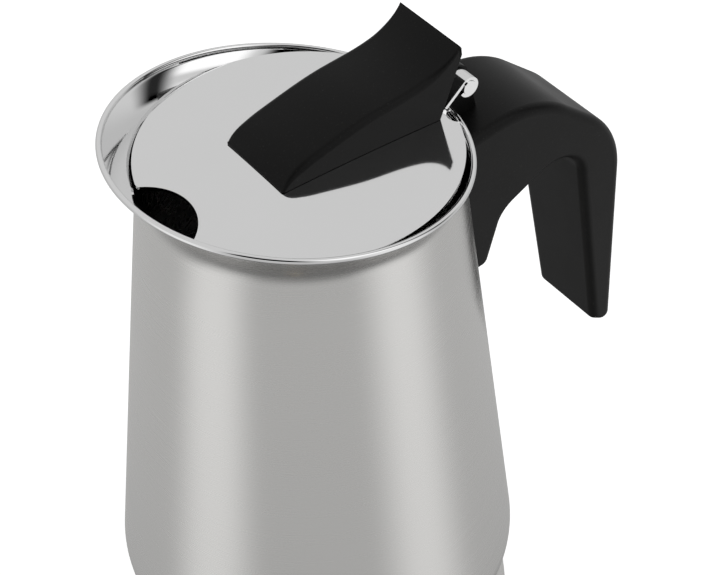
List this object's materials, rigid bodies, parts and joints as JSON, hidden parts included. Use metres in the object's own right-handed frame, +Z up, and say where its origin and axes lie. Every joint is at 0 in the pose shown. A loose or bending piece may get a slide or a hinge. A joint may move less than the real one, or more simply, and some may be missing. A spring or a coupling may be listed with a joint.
{
  "type": "moka pot",
  "caption": "Stovetop coffee maker: boiler with safety valve and funnel, screw-on collector with pouring rim and riser, hinged lid with knob and open-ended handle.",
  "frame": {"origin": "centre of the boiler's resting face", "axes": "+Z up through the pot, spout towards -X, handle and lid hinge towards +X"},
  "size_m": [0.1419, 0.1016, 0.2143],
  "materials": {
    "steel_brushed": "circumferentially brushed",
    "steel_polished": "polished",
    "steel_plain": "satin",
    "bakelite": "satin moulded",
    "silicone": "matt",
    "brass": "turned"
  },
  "bodies": {
    "boiler": {"boiler_shell": "steel_brushed", "boiler_base_disc": "steel_plain", "boiler_collar": "steel_plain", "valve_body": "brass", "valve_washer": "silicone", "valve_nut": "brass", "valve_seat_ring": "brass", "valve_spring": "steel_plain"},
    "valve_plunger": {"valve_plunger": "brass"},
    "funnel": {"funnel_basket": "steel_plain", "funnel_stem": "steel_plain", "funnel_screen": "steel_plain"},
    "gasket": {"gasket": "silicone"},
    "collector": {"collector_shell": "steel_brushed", "collector_floor": "steel_plain", "collector_collar": "steel_plain", "riser_column": "steel_plain", "column_cap": "steel_plain", "filter_plate": "steel_plain", "handle_bracket": "steel_plain", "handle": "bakelite", "handle_screw": "steel_plain", "handle_washer": "steel_plain", "hinge_pin": "steel_polished"},
    "lid": {"lid": "steel_polished", "knob": "bakelite", "knob_screws": "steel_plain"}
  },
  "joints": [
    {"name": "valve_lift", "type": "slide", "parent": "boiler", "child": "valve_plunger", "axis": [-0.7071, -0.7071, 0], "range_m": [0, 0.0015], "stiffness_N_per_m": 900, "springref_m": -0.003, "deforming": ["valve_spring"]},
    {"name": "funnel_lift", "type": "slide", "parent": "boiler", "child": "funnel", "axis": [0, 0, 1], "range_m": [0, 0.09]},
    {"name": "thread_rise", "type": "slide", "parent": "funnel", "child": "gasket", "axis": [0, 0, 1], "range_m": [0, 0.006]},
    {"name": "unscrew", "type": "hinge", "parent": "gasket", "child": "collector", "pos_m": [0, 0, 0.08], "axis": [0, 0, 1], "range_deg": [0, 540]},
    {"name": "lid_hinge", "type": "hinge", "parent": "collector", "child": "lid", "pos_m": [0.0406, 0, 0.20005], "axis": [0, 1, 0], "range_deg": [0, 110]}
  ],
  "couplings": [
    {"joint": "thread_rise", "follows": "unscrew", "m_per_rad": 0.00063662}
  ]
}
